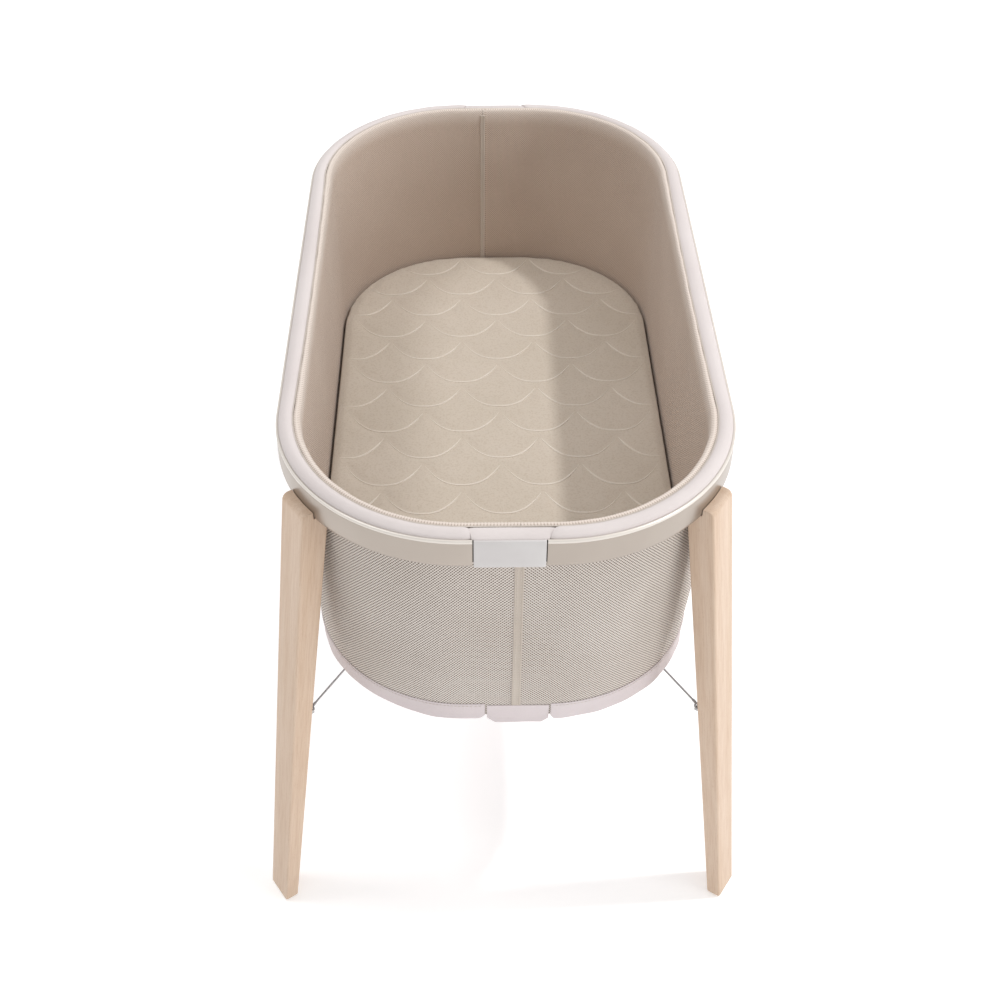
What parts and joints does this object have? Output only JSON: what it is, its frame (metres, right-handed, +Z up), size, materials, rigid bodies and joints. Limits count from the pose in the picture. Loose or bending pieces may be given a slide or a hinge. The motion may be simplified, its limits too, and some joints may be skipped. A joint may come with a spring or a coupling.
{
  "type": "bassinet on stand",
  "caption": "Oval bassinet with a metal rim, mesh basket and quilted mattress, standing on splayed wooden legs braced by crossed wires.",
  "frame": {"origin": "on the floor, below the middle of the rim", "axes": "+Z up, +Y towards the rear (head) end, +X to the right as seen from the front"},
  "size_m": [0.6154, 0.93, 0.6898],
  "materials": {
    "rim": "champagne anodised, satin",
    "connector": "moulded, light grey",
    "joiner": "moulded, dark grey",
    "steel": "zinc plated",
    "bracket": "die cast",
    "wood": "pale beech, matt lacquer",
    "glide": "nylon",
    "clip": "moulded",
    "mesh": "open spacer mesh, beige",
    "tape": "woven seam tape",
    "trim": "smooth padded knit, pinkish white",
    "skirt": "plain weave, pinkish grey",
    "board": "plywood",
    "foam": "polyurethane foam",
    "quilt": "quilted knit"
  },
  "bodies": {
    "basket_frame": {"rim_frame_left": "rim", "rim_frame_right": "rim", "rim_joiner_front": "joiner", "connector_cover_front": "connector", "joiner_rivet_front_left": "steel", "joiner_rivet_front_right": "steel", "rim_joiner_rear": "joiner", "connector_cover_rear": "connector", "joiner_rivet_rear_left": "steel", "joiner_rivet_rear_right": "steel", "leg_bracket_front_left": "bracket", "leg_bolt_front_left": "steel", "leg_bracket_front_right": "bracket", "leg_bolt_front_right": "steel", "leg_bracket_rear_left": "bracket", "leg_bolt_rear_left": "steel", "leg_bracket_rear_right": "bracket", "leg_bolt_rear_right": "steel", "brace_wire_upper": "steel", "brace_wire_lower": "steel", "brace_cross_clip": "clip", "mesh_wall_left_front": "mesh", "mesh_wall_left_rear": "mesh", "mesh_wall_right_rear": "mesh", "mesh_wall_right_front": "mesh", "seam_tape_front": "tape", "seam_tape_rear": "tape", "skirt_left": "skirt", "skirt_right": "skirt", "skirt_tab_front": "skirt", "skirt_tab_rear": "skirt", "floor_fabric": "skirt", "base_board": "board", "rim_trim_left": "trim", "rim_trim_right": "trim", "trim_flap_front": "trim", "trim_flap_rear": "trim"},
    "leg_front_left_body": {"leg_front_left": "wood", "barrel_nut_front_left": "steel", "foot_glide_front_left": "glide", "wire_keeper_front_left": "steel", "keeper_screw_front_left": "steel"},
    "leg_front_right_body": {"leg_front_right": "wood", "barrel_nut_front_right": "steel", "foot_glide_front_right": "glide", "wire_keeper_front_right": "steel", "keeper_screw_front_right": "steel"},
    "leg_rear_left_body": {"leg_rear_left": "wood", "barrel_nut_rear_left": "steel", "foot_glide_rear_left": "glide", "wire_keeper_rear_left": "steel", "keeper_screw_rear_left": "steel"},
    "leg_rear_right_body": {"leg_rear_right": "wood", "barrel_nut_rear_right": "steel", "foot_glide_rear_right": "glide", "wire_keeper_rear_right": "steel", "keeper_screw_rear_right": "steel"},
    "mattress": {"mattress_core": "foam", "mattress_cover": "quilt"}
  },
  "joints": [
    {"name": "leg_front_left_pull", "type": "slide", "parent": "basket_frame", "child": "leg_front_left_body", "axis": [-0.1127, -0.076, -0.9907], "range_m": [0, 0.06]},
    {"name": "leg_front_right_pull", "type": "slide", "parent": "basket_frame", "child": "leg_front_right_body", "axis": [0.1127, -0.076, -0.9907], "range_m": [0, 0.06]},
    {"name": "leg_rear_left_pull", "type": "slide", "parent": "basket_frame", "child": "leg_rear_left_body", "axis": [-0.1127, 0.076, -0.9907], "range_m": [0, 0.06]},
    {"name": "leg_rear_right_pull", "type": "slide", "parent": "basket_frame", "child": "leg_rear_right_body", "axis": [0.1127, 0.076, -0.9907], "range_m": [0, 0.06]},
    {"name": "mattress_lift", "type": "slide", "parent": "basket_frame", "child": "mattress", "axis": [0, 0, 1], "range_m": [0, 0.34]}
  ]
}
